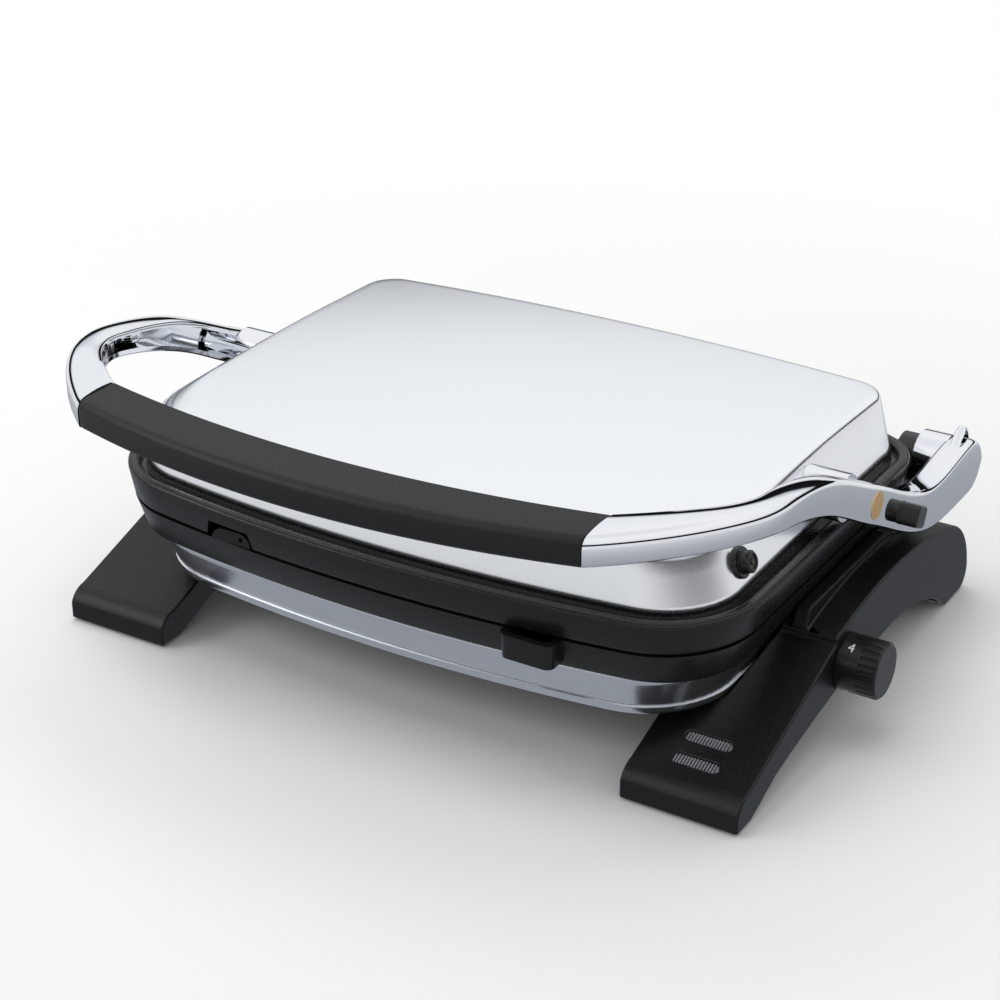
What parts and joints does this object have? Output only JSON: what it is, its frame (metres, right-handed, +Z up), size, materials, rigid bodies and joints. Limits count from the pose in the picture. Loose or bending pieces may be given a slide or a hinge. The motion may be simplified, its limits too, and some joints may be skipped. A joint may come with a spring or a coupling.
{
  "type": "contact grill",
  "caption": "Countertop contact grill: sloping satin lid between chromed arms that swing up on rear hinges, ribbed plates, saddle legs, side thermostat dial.",
  "frame": {"origin": "on the table, under the middle of the grill's bounding box", "axes": "+X to the right and +Y to the back as the cook stands at the grip, +Z up"},
  "size_m": [0.409, 0.332, 0.1493],
  "materials": {
    "satin_steel": "satin pressed stainless steel",
    "satin_lid": "satin pressed stainless steel, brighter than the housing",
    "chrome": "mirror chrome over a zinc casting",
    "nonstick_casting": "dark grey non-stick coating over cast aluminium",
    "black_plastic": "fine-grained black moulding",
    "soft_black": "soft-touch black moulding",
    "gloss_black": "semi-gloss black moulding",
    "white_plastic": "heat-resistant white moulding",
    "rubber": "matte black rubber",
    "brass": "turned brass",
    "black_steel": "black painted steel",
    "heater_tube": "drawn steel",
    "zinc_sheet": "bright sheet metal",
    "lens": "translucent ribbed lens"
  },
  "bodies": {
    "base": {"base_housing": "satin_steel", "base_cover": "black_plastic", "lower_plate": "nonstick_casting", "lower_element": "heater_tube", "lower_shield": "zinc_sheet", "lower_fuse": "zinc_sheet", "terminal_block": "white_plastic", "cord_gland": "rubber", "left_leg": "black_plastic", "right_leg": "black_plastic", "rubber_feet": "rubber", "base_screws": "zinc_sheet", "left_hinge_bracket": "black_steel", "right_hinge_bracket": "black_steel", "left_hinge_pin": "heater_tube", "right_hinge_pin": "heater_tube", "power_lens": "lens", "ready_lens": "lens", "lamp_holder": "white_plastic", "thermostat": "white_plastic"},
    "arms": {"left_arm": "chrome", "right_arm": "chrome", "grip": "soft_black", "grip_core": "zinc_sheet", "grip_screws": "zinc_sheet", "left_hub_bush": "white_plastic", "right_hub_bush": "white_plastic", "left_pivot_screw": "brass", "right_pivot_screw": "brass", "left_lock_spring": "heater_tube", "right_lock_spring": "heater_tube"},
    "lid": {"lid_shell": "satin_lid", "upper_plate": "nonstick_casting", "upper_element": "heater_tube", "upper_shield": "zinc_sheet", "upper_fuse": "zinc_sheet", "left_pivot_boss": "chrome", "right_pivot_boss": "chrome", "left_stop_peg": "gloss_black", "right_stop_peg": "gloss_black"},
    "dial": {"thermostat_dial": "gloss_black", "dial_spindle": "heater_tube"},
    "left_lock": {"left_lock_plunger": "gloss_black"},
    "right_lock": {"right_lock_plunger": "gloss_black"}
  },
  "joints": [
    {"name": "arm_hinge", "type": "hinge", "parent": "base", "child": "arms", "pos_m": [0, 0.1515, 0.07], "axis": [-1, 0, 0], "range_deg": [0, 178]},
    {"name": "lid_float", "type": "hinge", "parent": "arms", "child": "lid", "pos_m": [0, 0.0275, 0.102], "axis": [-1, 0, 0], "range_deg": [0, 2.1]},
    {"name": "dial_turn", "type": "hinge", "parent": "base", "child": "dial", "pos_m": [0.184, 0.0025, 0.034], "axis": [1, 0, 0], "range_deg": [-216, 54]},
    {"name": "right_lock_pull", "type": "slide", "parent": "arms", "child": "right_lock", "axis": [1, 0, 0], "range_m": [0, 0.004], "stiffness_N_per_m": 400, "deforming": ["right_lock_spring"]},
    {"name": "left_lock_pull", "type": "slide", "parent": "arms", "child": "left_lock", "axis": [-1, 0, 0], "range_m": [0, 0.004], "stiffness_N_per_m": 400, "deforming": ["left_lock_spring"]}
  ],
  "couplings": [
    {"joint": "lid_float", "follows": "arm_hinge", "ratio": 0.011236}
  ]
}
